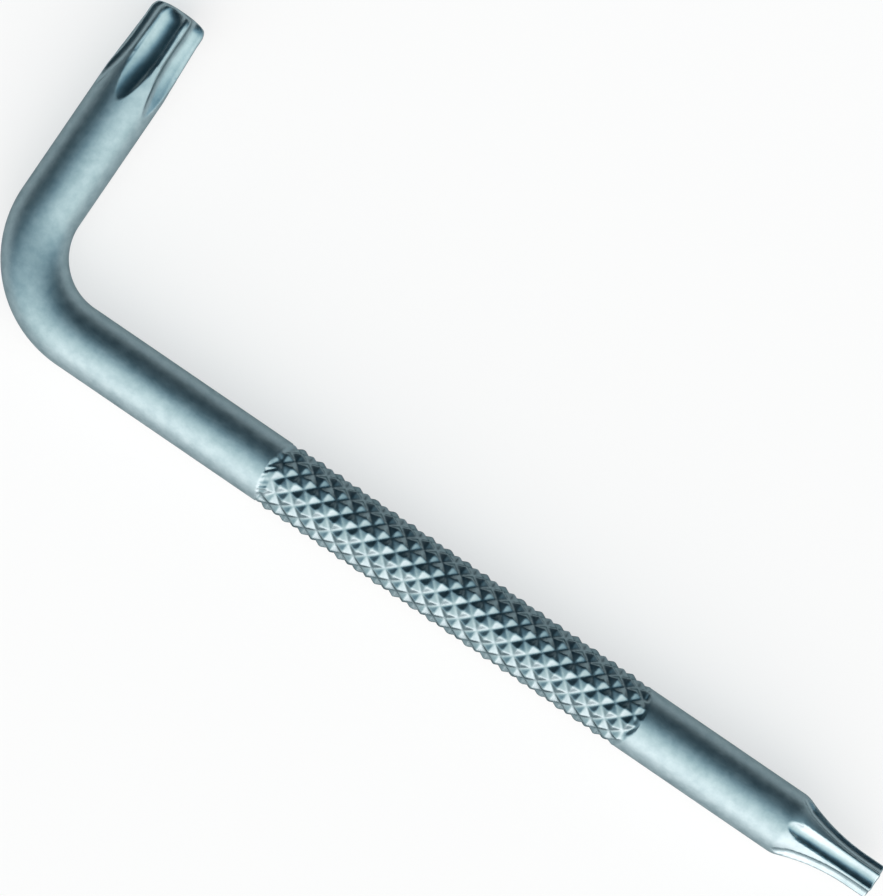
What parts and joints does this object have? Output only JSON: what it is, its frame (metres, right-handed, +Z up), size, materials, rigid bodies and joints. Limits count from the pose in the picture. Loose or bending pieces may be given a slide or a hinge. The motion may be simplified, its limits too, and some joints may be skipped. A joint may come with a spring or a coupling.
{
  "type": "star key",
  "caption": "L-shaped star key of round plated steel rod, with a large lobed star on the short arm, a smaller one on a tapered neck at the long end, and a diamond-knurled grip.",
  "frame": {"origin": "centre of the key's footprint, on the surface that it lies on", "axes": "+X along the long arm towards the small star, +Y along the short arm towards the large star, +Z up, square to the plane of the L"},
  "size_m": [0.068, 0.0226, 0.0045],
  "materials": {
    "plated_steel": "satin"
  },
  "bodies": {
    "root": {"large_star_tip": "plated_steel", "short_arm": "plated_steel", "bend": "plated_steel", "rear_shank": "plated_steel", "knurled_grip": "plated_steel", "front_shank": "plated_steel", "tapered_neck": "plated_steel", "small_star_tip": "plated_steel"}
  },
  "joints": []
}
